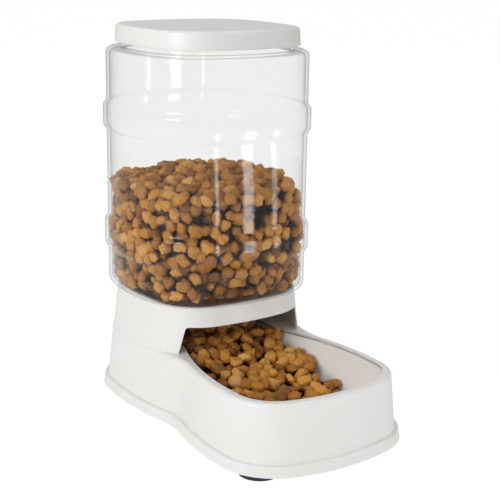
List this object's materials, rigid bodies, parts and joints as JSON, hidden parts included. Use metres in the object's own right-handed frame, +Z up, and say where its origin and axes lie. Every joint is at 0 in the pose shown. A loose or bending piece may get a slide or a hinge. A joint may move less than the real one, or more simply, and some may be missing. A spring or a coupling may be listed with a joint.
{
  "type": "pet feeder",
  "caption": "Gravity pet feeder with a white base and bowl, a clear hopper of dry food, a white lift-off lid and dark rubber feet",
  "frame": {"origin": "on the ground, at the middle of the base's footprint", "axes": "+Z up, -Y towards the bowl, +X to the feeder's right seen from the bowl's side"},
  "size_m": [0.1724, 0.3004, 0.3331],
  "materials": {
    "white_plastic": "moulded, satin gloss",
    "clear_plastic": "moulded clear, polished",
    "foot_rubber": "moulded, matt",
    "dry_food": "baked, matt"
  },
  "bodies": {
    "base": {"base_shell": "white_plastic", "front_left_foot": "foot_rubber", "front_right_foot": "foot_rubber", "rear_left_foot": "foot_rubber", "rear_right_foot": "foot_rubber", "food_in_bowl": "dry_food"},
    "hopper": {"hopper": "clear_plastic", "food_in_hopper": "dry_food"},
    "lid": {"lid": "white_plastic"}
  },
  "joints": [
    {"name": "hopper_lift", "type": "slide", "parent": "base", "child": "hopper", "axis": [0, 0, 1], "range_m": [0, 0.05]},
    {"name": "lid_lift", "type": "slide", "parent": "hopper", "child": "lid", "axis": [0, 0, 1], "range_m": [0, 0.03]}
  ]
}
